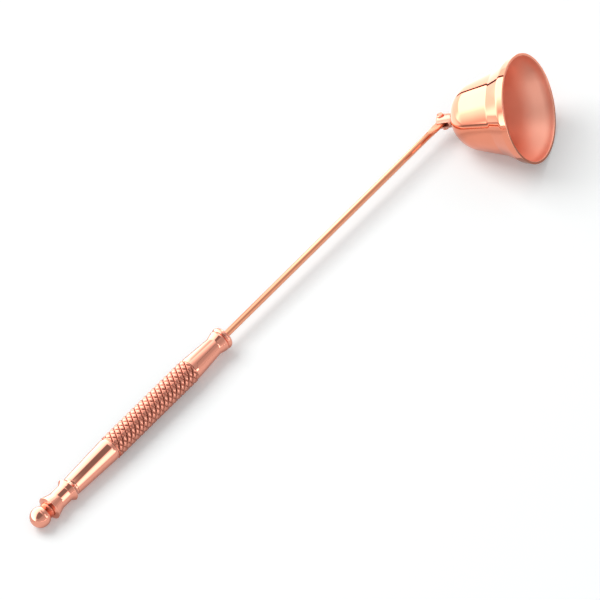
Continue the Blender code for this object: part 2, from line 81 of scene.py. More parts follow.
def filleted(corners, steps=8):
    """A line through corners (r, z, fillet), each fillet an arc tangent to both sides of its corner.

    The tangent length is fillet / tan(half the corner's angle), and stops short of the middle of a side.
    """
    line = []
    for k, (r, z, fillet) in enumerate(corners):
        corner = np.array([r, z], float)
        if not fillet:
            line.append(corner[None])
            continue
        back = np.array(corners[k - 1][:2]) - corner
        ahead = np.array(corners[(k + 1) % len(corners)][:2]) - corner
        room = 0.49 * min(np.linalg.norm(back), np.linalg.norm(ahead))
        back, ahead = back / np.linalg.norm(back), ahead / np.linalg.norm(ahead)
        half = math.acos(np.clip(back @ ahead, -1, 1)) / 2
        reach = min(fillet / math.tan(half), room)
        radius = reach * math.tan(half)
        middle = corner + (back + ahead) / np.linalg.norm(back + ahead) * radius / math.sin(half)
        first, last = corner + back * reach - middle, corner + ahead * reach - middle
        start = math.atan2(first[1], first[0])
        turn = math.remainder(math.atan2(last[1], last[0]) - start, math.tau)
        line.append(arc(middle, radius, start, start + turn, steps))
    return np.concatenate(line)


def supported(line, closed, near=0.06, span=1.5):
    """The same line with its long straight sides split: close to each end, and in equal spans between."""
    ends = np.roll(line, -1, axis=0) if closed else line[1:]
    out = []
    for p, q in zip(line, ends):
        length = np.linalg.norm(q - p)
        if length < 5 * near:
            shares = np.array([0.0])
        else:
            inner = np.linspace(near / length, 1 - near / length, 2 + int(length / span))
            shares = np.concatenate([[0.0], inner])
        out.append(p + (q - p) * shares[:, None])
    if not closed:
        out.append(line[-1:])
    return np.concatenate(out)


MERGE_WITHIN, SHARP_ANGLE = 0.0005, math.radians(40)


def solid_mesh(name, points, faces, **marks):
    """A mesh of these points in millimetres, its poles and seams merged, smooth but for its true edges.

    Each mark is an attribute with one number or one vector for each point.
    """
    mesh = bpy.data.meshes.new(name)
    mesh.from_pydata(points.tolist(), [], faces)
    for mark, values in marks.items():
        if values.ndim == 2:
            mesh.attributes.new(mark, "FLOAT_VECTOR", "POINT").data.foreach_set("vector", values.ravel())
        else:
            mesh.attributes.new(mark, "FLOAT", "POINT").data.foreach_set("value", values)
    bm = bmesh.new()
    bm.from_mesh(mesh)
    bmesh.ops.remove_doubles(bm, verts=bm.verts, dist=MERGE_WITHIN)
    bmesh.ops.recalc_face_normals(bm, faces=bm.faces)
    bm.to_mesh(mesh)
    bm.free()
    mesh.shade_smooth()
    mesh.set_sharp_from_angle(angle=SHARP_ANGLE)
    return mesh


def grid_faces(rows, columns, rows_close=False, columns_close=True):
    """The quads of a grid of points numbered row by row, which may close on itself either way."""
    k, j = np.indices((rows - 1 + rows_close, columns - 1 + columns_close))
    below, beside = (k + 1) % rows, (j + 1) % columns
    corners = [k * columns + j, below * columns + j, below * columns + beside, k * columns + beside]
    return np.stack(corners, axis=-1).reshape(-1, 4)


def ringed_mesh(name, rings, closed, grooved=False, **marks):
    """A surface through rings (ring, point, xyz). Closed joins the last to the first. Open ends are poles.

    The attribute lathe is (x, y, length along the line of first points), for a grain that runs round.
    Grooved halves each quad between the corners more equally far from the axis, which suits slanted grooves.
    """
    faces = grid_faces(*rings.shape[:2], rows_close=closed)
    if grooved:
        reach = np.hypot(rings[..., 0], rings[..., 1]).ravel()[faces]
        other = np.abs(reach[:, 1] - reach[:, 3]) < np.abs(reach[:, 0] - reach[:, 2])
        faces = np.where(other[:, None], np.roll(faces, 1, axis=1), faces)
        faces = np.concatenate([faces[:, [0, 1, 2]], faces[:, [0, 2, 3]]])
    steps = np.linalg.norm(np.diff(rings[:, 0], axis=0), axis=1)
    along = np.concatenate([[0], np.cumsum(steps)])[:, None] + np.zeros(rings.shape[1])
    lathe = np.stack([rings[..., 0], rings[..., 1], along], axis=-1).reshape(-1, 3)
    marks = {mark: (values + np.zeros(rings.shape[:2])).ravel() for mark, values in marks.items()}
    return solid_mesh(name, rings.reshape(-1, 3), faces.tolist(), lathe=lathe, **marks)


def turned_rings(line, a):
    """The rings of a surface of revolution: point (r, z) of the half section at (r cos a, r sin a, z)."""
    r, z = line[:, :1], line[:, 1:]
    return np.stack([r * np.cos(a), r * np.sin(a), z + 0 * a], axis=-1)


SHARPEST_PER_MM = 8


def crest(line):
    """How sharply the section turns outwards at each point: its turn over its length, from 0 to 1."""
    before, after = line - np.roll(line, 1, axis=0), np.roll(line, -1, axis=0) - line
    turn = np.arctan2(np.cross(before, after), np.sum(before * after, axis=1))
    length = (np.linalg.norm(before, axis=1) + np.linalg.norm(after, axis=1)) / 2
    outward = np.sign(np.cross(line, np.roll(line, -1, axis=0)).sum())
    return np.clip(outward * turn / np.maximum(length, 1e-6) / SHARPEST_PER_MM, 0, 1)[:, None]


def angles(sides):
    """Equal angles round the axis, from 0 up to the last before a full turn."""
    return np.arange(sides) * math.tau / sides


def turned_mesh(name, line, sides=96, closed=True, **marks):
    """A surface of revolution. The section closes on itself, or runs from pole to pole on the axis."""
    # The crests are marked to be painted paler, as wear and as a painted edge highlight.
    return ringed_mesh(name, turned_rings(line, angles(sides)), closed, wear=crest(line), **marks)


def fitted(name, mesh, axes, material, body, stands_for):
    """Lays a mesh drawn in a body's own frame into the row frame, and rides it there in its node's place."""
    points = np.empty(len(mesh.vertices) * 3)
    mesh.vertices.foreach_get("co", points)
    placed = pivot + MM * points.reshape(-1, 3) @ axes.T
    mesh.vertices.foreach_set("co", placed.ravel())
    mesh.update()
    made = bpy.data.objects.new(name, mesh)
    bpy.context.scene.collection.objects.link(made)
    mesh.materials.append(material)
    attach(made, body)
    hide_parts(stands_for)
    return made


def node(tree, kind, inputs=None, **settings):
    """Adds a shader node. A socket among the inputs is linked, and a number or colour is set."""
    made = tree.nodes.new("ShaderNode" + kind)
    for key, value in settings.items():
        setattr(made, key, value)
    for key, value in (inputs or {}).items():
        if isinstance(value, bpy.types.NodeSocket):
            tree.links.new(value, made.inputs[key])
        else:
            made.inputs[key].default_value = value
    return made


def plus(tree, base, source, factor):
    """The socket of base + factor x source, where base is a number or a socket."""
    inputs = {0: source, 1: factor, 2: base}
    return node(tree, "Math", inputs, operation="MULTIPLY_ADD").outputs["Value"]


# The second colour makes crests paler, partly as wear and partly as a painted highlight. The third is
# painted shade for hollows.
ROSE, WORN_AND_LIT, SHADE_TINT = (0.86, 0.35, 0.25, 1), (0.90, 0.47, 0.33, 1), (0.27, 0.072, 0.045, 1)
ROUND_GRAIN, LONG_GRAIN = (0.12, 0.12, 2.6), (2.6, 2.6, 0.05)
CLOUDS_PER_METRE, SPECKS_PER_METRE = 170, 3000
CLOUD_DULLS, LINES_DULL, WEAR_DULLS = 0.07, 0.02, 0.06
TINT_SHIFT, RUBBED_AND_LIT, SPECK_HEIGHT, LINE_HEIGHT = 0.04, 0.6, 0.25, 2e-6


def plating(name, colour, roughness, grain=ROUND_GRAIN, line_depth=0.25, satin=0.0, satin_lit_colour=None):
    """Rose gold plating over a polished surface, for one piece.

    Handling leaves cloudy patches about 6 mm wide that dull it a little and shift its colour by TINT_SHIFT.
    The grain is noise drawn out along the polishing lines. Crests are made paler, partly as rubbed wear and
    partly as a painted highlight along sharp edges (a crest attribute). Hollows are darkened as painted
    shade (a hollow attribute), and blasted areas are dull (satin), with a paler satin colour, when one is
    given, that paints them lighter.
    """
    made = bpy.data.materials.new(name)
    made.use_nodes = True
    tree = made.node_tree
    shader = tree.nodes["Principled BSDF"]
    shader.inputs["Metallic"].default_value = 1
    place = node(tree, "TexCoord").outputs["Object"]
    cloud = node(tree, "TexNoise", {"Vector": place, "Scale": CLOUDS_PER_METRE, "Detail": 3}).outputs["Fac"]
    speck = node(tree, "TexNoise", {"Vector": place, "Scale": SPECKS_PER_METRE, "Detail": 2}).outputs["Fac"]
    lathe = node(tree, "Attribute", attribute_name="lathe").outputs["Vector"]
    drawn = node(tree, "VectorMath", {0: lathe, 1: grain}, operation="MULTIPLY").outputs["Vector"]
    lines = node(tree, "TexNoise", {"Vector": drawn, "Scale": 1, "Detail": 3}).outputs["Fac"]
    wear, soil, dull = (
        node(tree, "Attribute", attribute_name=mark).outputs["Fac"] for mark in ("wear", "soil", "satin")
    )
    rough = plus(tree, roughness - (CLOUD_DULLS + LINES_DULL) / 2, cloud, CLOUD_DULLS)
    rough = plus(tree, rough, lines, LINES_DULL)
    rough = plus(tree, rough, wear, WEAR_DULLS)
    rough = plus(tree, rough, dull, satin)
    tree.links.new(rough, shader.inputs["Roughness"])
    pale = tuple(min(1, (1 + TINT_SHIFT) * c) for c in colour[:3]) + (1,)
    deep = tuple((1 - TINT_SHIFT) * c for c in colour[:3]) + (1,)
    tint = node(tree, "Mix", {0: cloud, 6: deep, 7: pale}, data_type="RGBA").outputs[2]
    # A satin colour, when given, is a paler copy of the plating: painted light on the blasted areas.
    if satin_lit_colour:
        tint = node(tree, "Mix", {0: dull, 6: tint, 7: satin_lit_colour}, data_type="RGBA").outputs[2]
    # Crests are paler: partly rubbed wear, partly a painted highlight along sharp edges.
    rubbed_and_lit = plus(tree, 0.0, wear, RUBBED_AND_LIT)
    tint = node(tree, "Mix", {0: rubbed_and_lit, 6: tint, 7: WORN_AND_LIT}, data_type="RGBA").outputs[2]
    # Hollows are mixed towards a dark brown: painted shade.
    tint = node(tree, "Mix", {0: soil, 6: tint, 7: SHADE_TINT}, data_type="RGBA").outputs[2]
    tree.links.new(tint, shader.inputs["Base Color"])
    height = plus(tree, lines, speck, SPECK_HEIGHT)
    relief = {"Height": height, "Strength": line_depth, "Distance": LINE_HEIGHT}
    tree.links.new(node(tree, "Bump", relief).outputs["Normal"], shader.inputs["Normal"])
    return made


PIN_HEIGHT = 34.83
MOUTH_RADIUS, LIP_HEIGHT, LIP_DRAW_IN, LIP_FILLET = 19.93, 2.8, 0.6, 4.0
WAIST_HEIGHT, WAIST_FILLET, WAIST_FILLET_INSIDE, LIP_FILLET_INSIDE = 9.0, 4.5, 26.0, 8.0
CONE_HALF_ANGLE = math.radians(16.4)
DOME_RADIUS, DOME_CENTRE, CROWN_FLAT = 12.955, 17.28, 2.75
BELL_WALL, EDGE_FILLET, STUD_HOLE = 0.9, 0.3, 1.3
# The inside's rose is paler than the outside's: painted light that brightens the satin interior.
BELL_ROSE, INSIDE_LIT_ROSE = (0.88, 0.305, 0.19, 1), (0.90, 0.43, 0.32, 1)

crown = math.acos(CROWN_FLAT / DOME_RADIUS)
dome = arc((0, DOME_CENTRE), DOME_RADIUS, crown, CONE_HALF_ANGLE, steps=40)
dome_inside = arc((0, DOME_CENTRE), DOME_RADIUS - BELL_WALL, crown, CONE_HALF_ANGLE, steps=40)
cone_foot = dome[-1, 0] + (dome[-1, 1] - WAIST_HEIGHT) * math.tan(CONE_HALF_ANGLE)
# The inner corners are the outer ones moved in by the wall, along the mitre between their two sides.
corners = np.array(
    [dome[-1], (cone_foot, WAIST_HEIGHT), (MOUTH_RADIUS - LIP_DRAW_IN, LIP_HEIGHT), (MOUTH_RADIUS, 0)]
)
sides = np.diff(corners, axis=0)
inward = np.column_stack([sides[:, 1], -sides[:, 0]]) / np.linalg.norm(sides, axis=1)[:, None]
mitre = inward[:-1] + inward[1:]
mitre = mitre / (1 + np.sum(inward[:-1] * inward[1:], axis=1))[:, None]
inner = corners + BELL_WALL * np.concatenate([inward[:1], mitre, inward[-1:]])
outside = filleted([(*c, f) for c, f in zip(corners, (0, WAIST_FILLET, LIP_FILLET, 0))], steps=16)
inside = filleted([(*c, f) for c, f in zip(inner, (0, WAIST_FILLET_INSIDE, LIP_FILLET_INSIDE, 0))], steps=24)
outside = supported(np.concatenate([dome, outside[1:]]), closed=False, near=0.3)
inside = supported(np.concatenate([dome_inside, inside[1:]]), closed=False, near=0.3)[::-1]
# The mouth is cut flat, and its two edges are broken.
inside[0, 1] = 0
edge = filleted(
    [(*outside[-2], 0), (*outside[-1], EDGE_FILLET), (*inside[0], EDGE_FILLET), (*inside[1], 0)]
)
section = np.concatenate(
    [[(STUD_HOLE, dome[0, 1])], outside[:-2], edge, inside[2:], [(STUD_HOLE, dome_inside[0, 1])]]
)
# The blasted inside is rougher, and it takes the paler colour that paints it lighter.
blasted = (np.arange(len(section)) > len(outside) + len(edge) // 2).astype(float)[:, None]
section[:, 1] -= PIN_HEIGHT
bell_mesh = turned_mesh("bell", section, sides=192, satin=blasted)
bell_plating = plating("bell_plating", BELL_ROSE, roughness=0.05, satin=0.41, satin_lit_colour=INSIDE_LIT_ROSE)
fitted("bell", bell_mesh, bell_axes, bell_plating, "bell", "bell_cup")


# The fork: a turned stud whose head is slotted across for the tongue, with a flat milled on each ear and a
# hole drilled through both. It is plated, duller than the bell, and given a darker rose than the other
# pieces, which paints shade on it. Its threaded shank goes through the bell's crown and takes the nut.
HEAD_RADIUS, HEAD_TOP, HEAD_EDGE = 2.66, 1.75, 0.8
HALF_SLOT, SLOT_FLOOR, SLOT_END = 0.9, -3.23, 0.6
HALF_FLATS, FLATS_FROM, NO_FLAT = 2.49, -1.8, 9.0
SHANK_RADIUS, SHANK_END, HEAD_FILLET, SHANK_FILLET = 1.25, -9.6, 0.15, 0.2
THREAD_FROM, THREAD_TO, THREAD_LEAD = -6.2, -9.35, 0.1
THREAD_PITCH, THREAD_DEPTH, THREAD_RINGS = 0.4, 0.12, 90
SEAT_GAP, NEAR = 0.01, 0.01
HEAD_SEAT = dome[0, 1] - PIN_HEIGHT + SEAT_GAP
EAR_HOLE, BEVEL_WIDTH, BEVEL_ANGLE = 0.67, 0.08, math.radians(50)
EAR_STEPS, SLOT_STEPS, ACROSS_STEPS, DRILL_SIDES = 40, 8, 20, 48
# A darker copy of the plating's rose: painted shade on the fork.
FORK_SHADED_ROSE = (0.64, 0.30, 0.22, 1)


def less(mesh, tool):
    """The first mesh less the second, as an exact difference. Both are closed and share a frame."""
    whole, cutter = (bpy.data.objects.new("blank_" + m.name, m) for m in (mesh, tool))
    for blank in (whole, cutter):
        bpy.context.scene.collection.objects.link(blank)
    cut = whole.modifiers.new("cut", "BOOLEAN")
    cut.object, cut.operation, cut.solver = cutter, "DIFFERENCE", "EXACT"
    graph = bpy.context.evaluated_depsgraph_get()
    left = bpy.data.meshes.new_from_object(
        whole.evaluated_get(graph), preserve_all_data_layers=True, depsgraph=graph
    )
    for blank in (whole, cutter):
        bpy.data.objects.remove(blank)
    left.shade_smooth()
    left.set_sharp_from_angle(angle=SHARP_ANGLE)
    return left


def pin_drill(radius, reach):
    """A plain bar along Y, as long as reach to each side of the axis: points (r sin a, y, r cos a)."""
    line = np.array([(0, -reach), (radius, -reach), (radius, reach), (0, reach)])
    rings = turned_rings(line, angles(DRILL_SIDES))
    return ringed_mesh("drill", rings[..., [1, 2, 0]], closed=False)


rim = arc((HEAD_RADIUS - HEAD_EDGE, HEAD_TOP - HEAD_EDGE), HEAD_EDGE, 0, math.pi / 2, steps=8)
levels = [(HEAD_RADIUS, SLOT_FLOOR, NO_FLAT), (HEAD_RADIUS, FLATS_FROM, NO_FLAT)]
levels += [(HEAD_RADIUS, FLATS_FROM, HALF_FLATS)] + [(r, z, HALF_FLATS) for r, z in rim]
levels = np.array(levels)


def ear_loops(side):
    """One ear as loops up its height: an arc of the stud cut off at its flat, closed along the slot's wall.

    On the arc y = min(radius sin a, flat), from the slot's wall round to the slot's wall.
    """
    radius, z, flat = (levels[:, k : k + 1] for k in range(3))
    start = np.arcsin(HALF_SLOT / radius)
    a = start + (math.pi - 2 * start) * np.linspace(0, 1, EAR_STEPS + 1)
    wall = np.linspace(-1, 1, ACROSS_STEPS + 1)[1:-1]
    x = np.concatenate([radius * np.cos(a), radius * np.cos(start) * wall], axis=1)
    y = np.concatenate([np.minimum(radius * np.sin(a), flat), HALF_SLOT + 0 * radius * wall], axis=1)
    return np.stack([side * x, side * y, z + 0 * x], axis=-1)


# The two ears, each closed by a face on top.
ears = [ear_loops(1), ear_loops(-1)]
loop = ears[0].shape[1]
points = [e.reshape(-1, 3) for e in ears]
faces = []
for first in (0, loop * len(levels)):
    faces += (first + grid_faces(len(levels), loop)).tolist()
    faces.append((first + (len(levels) - 1) * loop + np.arange(loop)).tolist())

# The slot's floor, between the ears: x runs across as far as the stud's circle at each y.
y = np.linspace(HALF_SLOT, -HALF_SLOT, SLOT_STEPS + 1)[:, None]
half = np.sqrt(HEAD_RADIUS**2 - y**2)
x = half * np.linspace(-1, 1, ACROSS_STEPS + 1)
floor_points = np.stack([x, y + 0 * x, SLOT_FLOOR + 0 * x], axis=-1)
base = sum(len(p) for p in points)
points.append(floor_points.reshape(-1, 3))
faces += (base + grid_faces(SLOT_STEPS + 1, ACROSS_STEPS + 1, columns_close=False)).tolist()

# The stem below, whose first ring is the outline of the ears and of the slot's ends. The thread is cut in by
# a triangle wave of the height over the pitch plus the share of a turn.
ear_arcs = [ear[0, : EAR_STEPS + 1] for ear in ears]
slot_ends = floor_points[1:-1, 0], floor_points[-2:0:-1, -1]
around = np.concatenate([ear_arcs[0], slot_ends[0], ear_arcs[1], slot_ends[1]])
turn = np.arctan2(around[:, 1], around[:, 0])[None]
drop = filleted(
    [
        (HEAD_RADIUS, SLOT_FLOOR, 0),
        (HEAD_RADIUS, HEAD_SEAT, HEAD_FILLET),
        (SHANK_RADIUS, HEAD_SEAT, 0),
        (SHANK_RADIUS, THREAD_FROM, 0),
        (SHANK_RADIUS, SHANK_END, SHANK_FILLET),
        (0, SHANK_END, 0),
    ],
    steps=4,
)[1:-1]
seat = int(np.argmin(np.abs(drop[:, 1] - THREAD_FROM)))
thread_z = np.linspace(THREAD_FROM, THREAD_TO, THREAD_RINGS)[1:]
thread = np.column_stack([SHANK_RADIUS + 0 * thread_z, thread_z])
drop = np.concatenate([drop[: seat + 1], thread, drop[seat + 1 :]])
r, z = drop[:, :1], drop[:, 1:]
phase = (z / THREAD_PITCH + turn / math.tau) % 1
threaded = (np.abs(r - SHANK_RADIUS) < 1e-6) & (z < THREAD_FROM - THREAD_LEAD)
r = r - THREAD_DEPTH * (1 - np.abs(2 * phase - 1)) * threaded
stem = np.stack([r * np.cos(turn), r * np.sin(turn), z + 0 * turn], axis=-1)
ring = len(around)
base = sum(len(p) for p in points)
points += [around, stem.reshape(-1, 3)]
faces += (base + grid_faces(len(drop) + 1, ring)).tolist()
faces.append((base + len(drop) * ring + np.arange(ring)).tolist())

points = np.concatenate(points)
in_slot = np.abs(points[:, 1]) < HALF_SLOT + NEAR
in_slot &= (points[:, 2] < SLOT_END) & (points[:, 2] > SLOT_FLOOR - NEAR)
fork_mesh = solid_mesh("fork", points, faces, lathe=points, satin=in_slot.astype(float))
fork_mesh = less(fork_mesh, pin_drill(EAR_HOLE, HEAD_RADIUS + 1))
fork_plating = plating("fork_plating", FORK_SHADED_ROSE, roughness=0.28, satin=0.25)
fork = fitted("fork", fork_mesh, bell_axes, fork_plating, "bell", "fork_stud")
soften = fork.modifiers.new("soften", "BEVEL")
soften.width, soften.segments = BEVEL_WIDTH * MM, 2
soften.limit_method, soften.angle_limit = "ANGLE", BEVEL_ANGLE


# The washer and the nut that hold the fork in the bell's crown, inside. The washer is punched from sheet and
# the nut milled from hexagon bar, chamfered at both ends. Both are satin plated.
WASHER_RADIUS, WASHER_TOP, WASHER_BOTTOM, WASHER_EDGE, WASHER_FILLET = 2.9, 28.98, 28.38, 0.05, 0.2
NUT_HALF_FLATS, NUT_TOP, NUT_BOTTOM, NUT_CHAMFER, NUT_BORE = 2.5, 28.35, 25.83, 0.15, 1.29
NUT_FACE, NUT_EASE_IN, NUT_EASE_DOWN, NUT_SIDES = 0.97 * NUT_HALF_FLATS, 0.06, 0.08, 96

section = filleted(
    [
        (STUD_HOLE, WASHER_TOP, WASHER_EDGE),
        (WASHER_RADIUS, WASHER_TOP, WASHER_EDGE),
        (WASHER_RADIUS, WASHER_BOTTOM, WASHER_FILLET),
        (STUD_HOLE, WASHER_BOTTOM, WASHER_EDGE),
    ]
)
section[:, 1] -= PIN_HEIGHT
washer_mesh = turned_mesh("washer", section)
washer_plating = plating("washer_plating", ROSE, roughness=0.30)
fitted("washer", washer_mesh, bell_axes, washer_plating, "bell", "crown_washer")


def nut_rings(a):
    """Rings round a hexagon, half / cos(angle from the nearest flat), chamfered by a 30 degree cone."""
    hexagon = NUT_HALF_FLATS / np.cos((a + math.pi / 6) % (math.pi / 3) - math.pi / 6)
    corner_drop = (hexagon - NUT_FACE) * math.tan(math.radians(30))
    eased = hexagon - NUT_EASE_IN
    line = [
        (NUT_BORE, NUT_TOP - NUT_CHAMFER),
        (NUT_BORE + NUT_CHAMFER, NUT_TOP),
        (NUT_FACE, NUT_TOP),
        (eased, NUT_TOP - corner_drop),
        (hexagon, NUT_TOP - corner_drop - NUT_EASE_DOWN),
        (hexagon, NUT_BOTTOM + corner_drop + NUT_EASE_DOWN),
        (eased, NUT_BOTTOM + corner_drop),
        (NUT_FACE, NUT_BOTTOM),
        (NUT_BORE + NUT_CHAMFER, NUT_BOTTOM),
        (NUT_BORE, NUT_BOTTOM + NUT_CHAMFER),
    ]
    rings = [(r * np.cos(a), r * np.sin(a), z - PIN_HEIGHT + 0 * a) for r, z in line]
    return np.stack([np.stack(ring, axis=-1) for ring in rings])


nut_mesh = ringed_mesh("nut", nut_rings(angles(NUT_SIDES)), closed=True)
nut_plating = plating("nut_plating", ROSE, roughness=0.26)
fitted("nut", nut_mesh, bell_axes, nut_plating, "bell", "crown_nut")


# The rivet: a short pin with two domed heads, through both ears and the tongue's eye. Polished plating, set
# by peening its second head.
RIVET_RADIUS, RIVET_HEAD, RIVET_DOME, RIVET_EDGE, RIVET_SEAT, RIVET_END = 0.65, 1.3, 0.6, 0.08, 2.5, 3.27

half = filleted(
    [
        (0, RIVET_END, 0),
        (RIVET_HEAD, RIVET_END, RIVET_DOME),
        (RIVET_HEAD, RIVET_SEAT, RIVET_EDGE),
        (RIVET_RADIUS, RIVET_SEAT, 0),
    ]
)
section = np.concatenate([half, (half * [1, -1])[::-1]])
rivet_mesh = turned_mesh("rivet", section, sides=64, closed=False)
along_pin = bell_axes[:, [2, 0, 1]]
rivet_plating = plating("rivet_plating", ROSE, roughness=0.10)
fitted("rivet", rivet_mesh, along_pin, rivet_plating, "bell", "pivot_pin")


# The rod: drawn round bar, its end pressed flat into a tongue with a round tip and an eye. Polished plating.
# The tongue hangs on the rivet, and the other end runs through the whole handle to the ball.
ROD_RADIUS, ROD_END = 1.25, 223.1
TIP_STEPS, BLEND_STEPS, SHAFT_STEPS, ROD_SIDES = 12, 24, 44, 96
TONGUE_HALF_WIDTH, TONGUE_HALF_THICKNESS, TONGUE_FLAT, TONGUE_BLEND = 1.8, 0.7, 3.91, 4.5
EYE_RADIUS, SQUARENESS = 0.8, 4
ROD_ROSE = (0.86, 0.36, 0.215, 1)

# Each ring is (width |cos a|^p, thickness |sin a|^p), where p is 1 for the round bar and 2 over SQUARENESS
# for the tongue, whose corners are full.
tip = np.linspace(0, math.pi / 2, TIP_STEPS + 1)
share = np.linspace(0, 1, BLEND_STEPS + 1)
ease = share * share * (3 - 2 * share)
far = np.linspace(TONGUE_FLAT + TONGUE_BLEND, ROD_END, SHAFT_STEPS + 1)[1:]
heights = np.concatenate(
    [-TONGUE_HALF_WIDTH * np.cos(tip), TONGUE_FLAT + share * TONGUE_BLEND, far, [ROD_END]]
)
widths = np.concatenate(
    [
        TONGUE_HALF_WIDTH * np.sin(tip),
        TONGUE_HALF_WIDTH + (ROD_RADIUS - TONGUE_HALF_WIDTH) * ease,
        ROD_RADIUS + 0 * far,
        [0],
    ]
)
thick = np.concatenate(
    [
        np.minimum(TONGUE_HALF_THICKNESS, TONGUE_HALF_WIDTH * np.sin(tip)),
        TONGUE_HALF_THICKNESS + (ROD_RADIUS - TONGUE_HALF_THICKNESS) * ease,
        ROD_RADIUS + 0 * far,
        [0],
    ]
)
power = 2 / np.concatenate([SQUARENESS + 0 * tip, SQUARENESS + (2 - SQUARENESS) * ease, 2 + 0 * far, [2]])
cosine, sine = np.cos(angles(ROD_SIDES))[None], np.sin(angles(ROD_SIDES))[None]
x = widths[:, None] * np.sign(cosine) * np.abs(cosine) ** power[:, None]
y = thick[:, None] * np.sign(sine) * np.abs(sine) ** power[:, None]
pressed = np.clip((TONGUE_FLAT + TONGUE_BLEND - heights) / TONGUE_BLEND, 0, 1)[:, None]
rings = np.stack([x, y, heights[:, None] + 0 * x], axis=-1)
rod_mesh = ringed_mesh("rod", rings, closed=False, satin=pressed)
rod_mesh = less(rod_mesh, pin_drill(EYE_RADIUS, ROD_RADIUS))
rod_plating = plating("rod_plating", ROD_ROSE, roughness=0.07, grain=LONG_GRAIN, line_depth=0.35, satin=0.32)
fitted("rod", rod_mesh, handle_axes, rod_plating, "handle", "snuffer_rod")


# The collar: a round bead turned from bar, where the rod enters the handle. Polished plating. Its spigot
# sits in the front barrel.
ROD_BORE, SPIGOT, SOCKET, BARREL_START = 1.28, 2.25, 2.3, 124.0
COLLAR_START, COLLAR_LENGTH, COLLAR_RADIUS, COLLAR_SPIGOT_END = 121.5, 2.4, 4.38, 126.2

middle, half = COLLAR_START + COLLAR_LENGTH / 2, COLLAR_LENGTH / 2
section = np.concatenate(
    [
        [(ROD_BORE, COLLAR_SPIGOT_END), (SPIGOT, COLLAR_SPIGOT_END), (SPIGOT, COLLAR_START + COLLAR_LENGTH)],
        arc((COLLAR_RADIUS - half, middle), half, math.pi / 2, -math.pi / 2, steps=24),
        [(ROD_BORE, COLLAR_START)],
    ]
)
collar_mesh = turned_mesh("collar", supported(section, closed=True))
collar_plating = plating("collar_plating", ROSE, roughness=0.06)
fitted("collar", collar_mesh, handle_axes, collar_plating, "handle", "rod_collar")


# The front barrel: a slim vase, flared to a rim behind the collar. Polished plating. It is turned, bored and
# slid on to the rod, with a spigot in the grip.
BARREL_END, BARREL_SPIGOT_END, BARREL_SOCKET_END, TURNED_EDGE = 140.7, 145.8, 126.4, 0.08
RIM_RADIUS, RIM_END, RIM_FILLET = 4.16, 124.6, 0.15
THROAT_RADIUS, THROAT_AT, THROAT_FILLET = 3.49, 127.3, 2.6
BARREL_RADIUS, BARREL_SWELL_AT, BARREL_SWELL = 4.37, 139.2, 16

section = filleted(
    [
        (ROD_BORE, BARREL_SPIGOT_END, 0),
        (SPIGOT, BARREL_SPIGOT_END, 0),
        (SPIGOT, BARREL_END, 0),
        (BARREL_RADIUS, BARREL_END, TURNED_EDGE),
        (BARREL_RADIUS, BARREL_SWELL_AT, BARREL_SWELL),
        (THROAT_RADIUS, THROAT_AT, THROAT_FILLET),
        (RIM_RADIUS, RIM_END, RIM_FILLET),
        (RIM_RADIUS, BARREL_START, RIM_FILLET),
        (SOCKET, BARREL_START, 0),
        (SOCKET, BARREL_SOCKET_END, 0),
        (ROD_BORE, BARREL_SOCKET_END, 0),
    ],
    steps=12,
)
barrel_mesh = turned_mesh("front_barrel", supported(section, closed=True, near=0.15))
barrel_plating = plating("barrel_plating", ROSE, roughness=0.07)
fitted("barrel", barrel_mesh, handle_axes, barrel_plating, "handle", "front_barrel")


# The grip: a sleeve with a crossed knurl, rolled in before plating, so its diamonds are a little soft. One
# set of its grooves is struck deeper than the other. It is slid on to the rod, over both barrels' spigots.
GRIP_START, GRIP_END, GRIP_LAND, LAND_RADIUS, LAND_EDGE, LAND_STEP = 140.8, 184.2, 0.3, 4.37, 0.1, 0.02
KNURLS_AROUND, KNURLS_ALONG, KNURL_STEPS = 8, 19, 20
KNURL_RADIUS, KNURL_DEPTH, SECOND_SET, GROOVE_SHARPNESS = 4.655, 0.45, 0.62, 3.6
# How far the knurl is darkened with a brown tint, a little on its crests and most in its grooves: painted
# shade.
CREST_SHADING, GROOVE_SHADING = 0.05, 0.90

# Each set of grooves is a triangle wave, of column + row or of column - row. It is 1 at whole numbers and 0
# halfway, and is raised to a power that narrows it.
columns, rows = KNURLS_AROUND * KNURL_STEPS, KNURLS_ALONG * KNURL_STEPS
c, r = np.arange(columns)[None] / KNURL_STEPS, np.arange(rows + 1)[:, None] / KNURL_STEPS
first_set = (1 - 2 * np.abs((c + r + 0.5) % 1 - 0.5)) ** GROOVE_SHARPNESS
second_set = (1 - 2 * np.abs((c - r + 0.5) % 1 - 0.5)) ** GROOVE_SHARPNESS
struck = np.maximum(first_set, SECOND_SET * second_set)
a = (c * math.tau / KNURLS_AROUND)[0]
radius = (KNURL_RADIUS - KNURL_DEPTH * struck)[..., None]
z = np.linspace(GRIP_START + GRIP_LAND, GRIP_END - GRIP_LAND, rows + 1)[:, None] + 0 * a
lattice = np.concatenate([radius * np.stack([np.cos(a), np.sin(a)], axis=-1), z[..., None]], axis=-1)


def land_rings(end, inward):
    """The plain land at one end of the grip, from the bore out over its edge and along to the knurl."""
    line = [
        (SOCKET, end),
        (LAND_RADIUS - LAND_EDGE, end),
        (LAND_RADIUS, end + inward * LAND_EDGE),
        (LAND_RADIUS, end + inward * (GRIP_LAND - LAND_STEP)),
    ]
    return turned_rings(np.array(line), a)


lands = [land_rings(GRIP_START, 1), land_rings(GRIP_END, -1)]
clean = np.zeros(lands[0].shape[:2])
